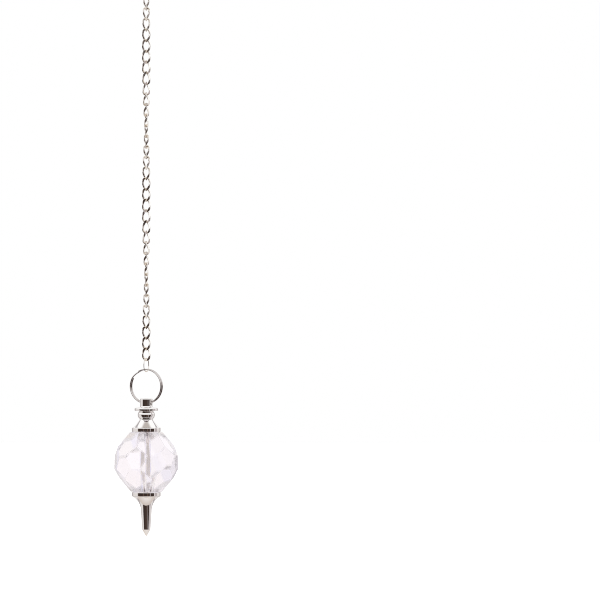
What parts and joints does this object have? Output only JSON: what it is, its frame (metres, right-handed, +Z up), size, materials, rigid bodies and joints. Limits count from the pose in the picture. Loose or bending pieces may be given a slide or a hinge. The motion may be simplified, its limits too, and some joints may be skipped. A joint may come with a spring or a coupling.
{
  "type": "pendulum pendant",
  "caption": "Faceted clear glass ball between a turned metal cap and a pointed metal spike, hung from a split ring on a fine curb chain that ends in a plain ring.",
  "frame": {"origin": "inside of the top ring, at its highest point, where it bears on a hook or finger", "axes": "+Z up, the pendant hangs along -Z; +X to the right as seen from the front, which is the -Y side; the split ring stands upright, turned 24 degrees about Z so that its right side is nearer"},
  "size_m": [0.02, 0.02, 0.1804],
  "materials": {
    "chain_wire": "polished silver-tone plated wire",
    "ring_wire": "polished silver-tone plated wire",
    "polished_plate": "mirror-polished white metal plate over turned brass",
    "clear_glass": "clear cut glass with a faint lilac cast, polished facets",
    "pin_metal": "plain drawn rod"
  },
  "bodies": {
    "chain": {"hang_ring": "chain_wire", "link_01": "chain_wire", "link_02": "chain_wire", "link_03": "chain_wire", "link_04": "chain_wire", "link_05": "chain_wire", "link_06": "chain_wire", "link_07": "chain_wire", "link_08": "chain_wire", "link_09": "chain_wire", "link_10": "chain_wire", "link_11": "chain_wire", "link_12": "chain_wire", "link_13": "chain_wire", "link_14": "chain_wire", "link_15": "chain_wire", "link_16": "chain_wire", "link_17": "chain_wire", "link_18": "chain_wire", "link_19": "chain_wire", "link_20": "chain_wire", "link_21": "chain_wire", "link_22": "chain_wire", "link_23": "chain_wire", "link_24": "chain_wire", "link_25": "chain_wire", "link_26": "chain_wire", "link_27": "chain_wire", "link_28": "chain_wire", "link_29": "chain_wire", "link_30": "chain_wire", "link_31": "chain_wire", "link_32": "chain_wire", "link_33": "chain_wire", "link_34": "chain_wire", "link_35": "chain_wire", "connector_link": "chain_wire"},
    "ring": {"split_ring": "ring_wire"},
    "drop": {"cap": "polished_plate", "ball": "clear_glass", "core_pin": "pin_metal", "spike": "polished_plate"}
  },
  "joints": [
    {"name": "ring_swing", "type": "hinge", "parent": "chain", "child": "ring", "pos_m": [0, 0, -0.12727], "axis": [0.9135, -0.4067, 0], "range_deg": [-75, 75]},
    {"name": "drop_swing", "type": "hinge", "parent": "ring", "child": "drop", "pos_m": [0, 0, -0.13783], "axis": [0.9135, -0.4067, 0], "range_deg": [-90, 90]}
  ]
}
